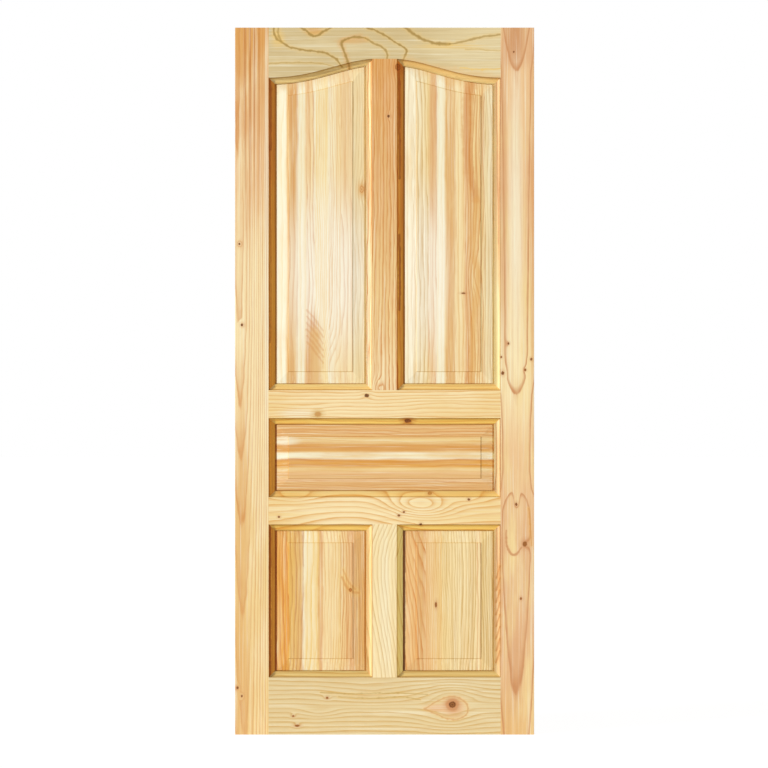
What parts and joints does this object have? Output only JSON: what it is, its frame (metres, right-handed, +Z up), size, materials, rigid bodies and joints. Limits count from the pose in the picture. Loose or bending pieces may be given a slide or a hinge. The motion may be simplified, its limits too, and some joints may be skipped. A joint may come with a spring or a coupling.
{
  "type": "exterior panelled wooden door leaf",
  "caption": "Unglazed softwood entrance door leaf: an arched top rail, muntins and cross rails framing raised and fielded panels.",
  "frame": {"origin": "foot of the leaf's hinge edge, the left edge as pictured, at mid thickness", "axes": "+X across the leaf from the hinge edge to the lock edge, -Y out of the face that is pictured, +Z up"},
  "size_m": [0.838, 0.044, 1.981],
  "materials": {
    "stile_wood": "Clear-finished softwood, straight grained",
    "rail_wood": "Clear-finished softwood, figured and knotty",
    "muntin_wood": "Clear-finished softwood, warm toned",
    "panel_wood": "Clear-finished softwood staves, edge glued"
  },
  "bodies": {
    "root": {"left_stile": "stile_wood", "right_stile": "stile_wood", "top_rail": "rail_wood", "lock_rail": "rail_wood", "middle_rail": "rail_wood", "bottom_rail": "rail_wood", "upper_muntin": "muntin_wood", "lower_muntin": "muntin_wood", "upper_left_panel": "panel_wood", "upper_right_panel": "panel_wood", "middle_panel": "panel_wood", "lower_left_panel": "panel_wood", "lower_right_panel": "panel_wood"}
  },
  "joints": []
}
